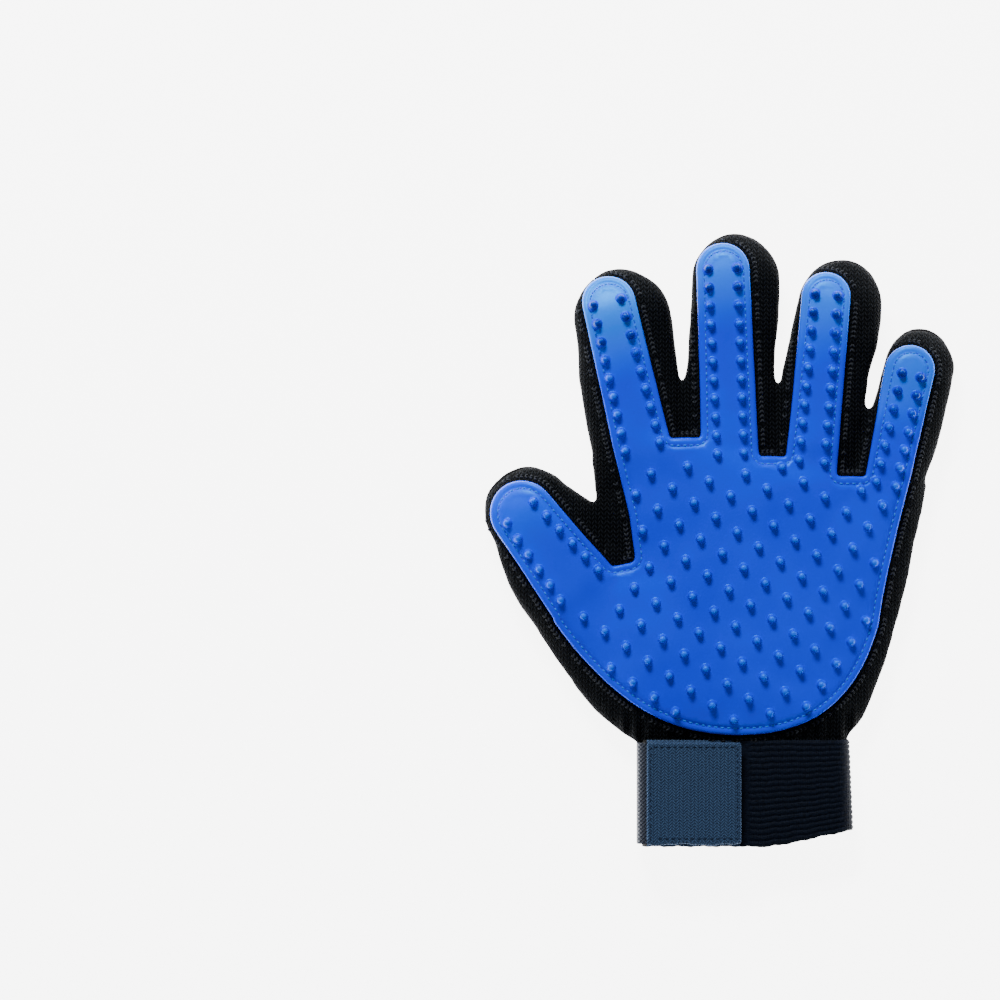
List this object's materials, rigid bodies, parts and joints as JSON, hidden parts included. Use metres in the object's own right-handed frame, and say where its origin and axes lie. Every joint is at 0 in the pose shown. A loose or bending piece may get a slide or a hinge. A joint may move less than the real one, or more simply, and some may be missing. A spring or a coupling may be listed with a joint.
{
  "type": "pet grooming glove",
  "caption": "Hollow fabric glove with a nubbed rubber palm and fingers, mesh back, bending fingers and thumb, elastic wrist and a hook-and-loop strap tab.",
  "frame": {"origin": "on the underside of the mesh back, at the centre of the glove's length and width", "axes": "+Y from the wrist to the middle fingertip, +Z out of the palm through the nubs, -X towards the thumb"},
  "size_m": [0.1756, 0.2302, 0.0195],
  "materials": {
    "rubber": "satin moulded thermoplastic rubber",
    "knit": "black warp-knit polyester",
    "mesh": "black air mesh with small open cells",
    "elastic": "ribbed black elastic",
    "loop": "brushed navy loop pile",
    "webbing": "woven navy webbing",
    "hook": "black hook tape"
  },
  "bodies": {
    "palm": {"palm_panel": "rubber", "palm_liner": "knit", "palm_back": "mesh", "palm_gusset_thumb_side": "knit", "palm_gusset_web": "knit", "palm_gusset_little_side": "knit", "cuff_back": "mesh", "cuff_side": "knit", "cuff_elastic": "elastic", "cuff_loop_panel": "loop", "strap_band": "webbing", "strap_fold": "webbing"},
    "thumb_base": {"thumb_base_panel": "rubber", "thumb_base_liner": "knit", "thumb_base_back": "mesh", "thumb_base_gusset_left": "knit", "thumb_base_gusset_right": "knit"},
    "thumb_tip": {"thumb_tip_panel": "rubber", "thumb_tip_liner": "knit", "thumb_tip_back": "mesh", "thumb_tip_gusset": "knit"},
    "index_base": {"index_base_panel": "rubber", "index_base_liner": "knit", "index_base_back": "mesh", "index_base_gusset_left": "knit", "index_base_gusset_right": "knit"},
    "index_tip": {"index_tip_panel": "rubber", "index_tip_liner": "knit", "index_tip_back": "mesh", "index_tip_gusset": "knit"},
    "middle_base": {"middle_base_panel": "rubber", "middle_base_liner": "knit", "middle_base_back": "mesh", "middle_base_gusset_left": "knit", "middle_base_gusset_right": "knit"},
    "middle_tip": {"middle_tip_panel": "rubber", "middle_tip_liner": "knit", "middle_tip_back": "mesh", "middle_tip_gusset": "knit"},
    "ring_base": {"ring_base_panel": "rubber", "ring_base_liner": "knit", "ring_base_back": "mesh", "ring_base_gusset_left": "knit", "ring_base_gusset_right": "knit"},
    "ring_tip": {"ring_tip_panel": "rubber", "ring_tip_liner": "knit", "ring_tip_back": "mesh", "ring_tip_gusset": "knit"},
    "little_base": {"little_base_panel": "rubber", "little_base_liner": "knit", "little_base_back": "mesh", "little_base_gusset_left": "knit", "little_base_gusset_right": "knit"},
    "little_tip": {"little_tip_panel": "rubber", "little_tip_liner": "knit", "little_tip_back": "mesh", "little_tip_gusset": "knit"},
    "strap_tab": {"tab_hook_patch": "hook", "tab_webbing": "webbing", "tab_loop_facing": "loop"}
  },
  "joints": [
    {"name": "thumb_root_bend", "type": "hinge", "parent": "palm", "child": "thumb_base", "pos_m": [-0.05094, -0.01911, 0.0167], "axis": [0.7771, 0.6293, 0], "range_deg": [0, 50], "stiffness_Nm_per_rad": 0.02},
    {"name": "thumb_tip_bend", "type": "hinge", "parent": "thumb_base", "child": "thumb_tip", "pos_m": [-0.06406, -0.00291, 0.0167], "axis": [0.7771, 0.6293, 0], "range_deg": [0, 50], "stiffness_Nm_per_rad": 0.02},
    {"name": "index_knuckle_bend", "type": "hinge", "parent": "palm", "child": "index_base", "pos_m": [-0.03014, 0.03889, 0.0167], "axis": [0.9713, 0.2377, 0], "range_deg": [0, 45], "stiffness_Nm_per_rad": 0.02},
    {"name": "index_middle_bend", "type": "hinge", "parent": "index_base", "child": "index_tip", "pos_m": [-0.03675, 0.06589, 0.0167], "axis": [0.9713, 0.2377, 0], "range_deg": [0, 50], "stiffness_Nm_per_rad": 0.02},
    {"name": "middle_knuckle_bend", "type": "hinge", "parent": "palm", "child": "middle_base", "pos_m": [0.00346, 0.03629, 0.0167], "axis": [0.9992, 0.0401, 0], "range_deg": [0, 45], "stiffness_Nm_per_rad": 0.02},
    {"name": "middle_middle_bend", "type": "hinge", "parent": "middle_base", "child": "middle_tip", "pos_m": [0.00207, 0.07101, 0.0167], "axis": [0.9992, 0.0401, 0], "range_deg": [0, 50], "stiffness_Nm_per_rad": 0.02},
    {"name": "ring_knuckle_bend", "type": "hinge", "parent": "palm", "child": "ring_base", "pos_m": [0.03436, 0.03349, 0.0167], "axis": [0.9958, -0.0915, 0], "range_deg": [0, 45], "stiffness_Nm_per_rad": 0.02},
    {"name": "ring_middle_bend", "type": "hinge", "parent": "ring_base", "child": "ring_tip", "pos_m": [0.0369, 0.06117, 0.0167], "axis": [0.9958, -0.0915, 0], "range_deg": [0, 50], "stiffness_Nm_per_rad": 0.02},
    {"name": "little_knuckle_bend", "type": "hinge", "parent": "palm", "child": "little_base", "pos_m": [0.06276, 0.02499, 0.0167], "axis": [0.9736, -0.2284, 0], "range_deg": [0, 45], "stiffness_Nm_per_rad": 0.02},
    {"name": "little_middle_bend", "type": "hinge", "parent": "little_base", "child": "little_tip", "pos_m": [0.06752, 0.04529, 0.0167], "axis": [0.9736, -0.2284, 0], "range_deg": [0, 50], "stiffness_Nm_per_rad": 0.02},
    {"name": "strap_tab_fold", "type": "hinge", "parent": "palm", "child": "strap_tab", "pos_m": [-0.03254, -0.09511, 0.0128], "axis": [0, -1, 0], "range_deg": [0, 150]}
  ]
}
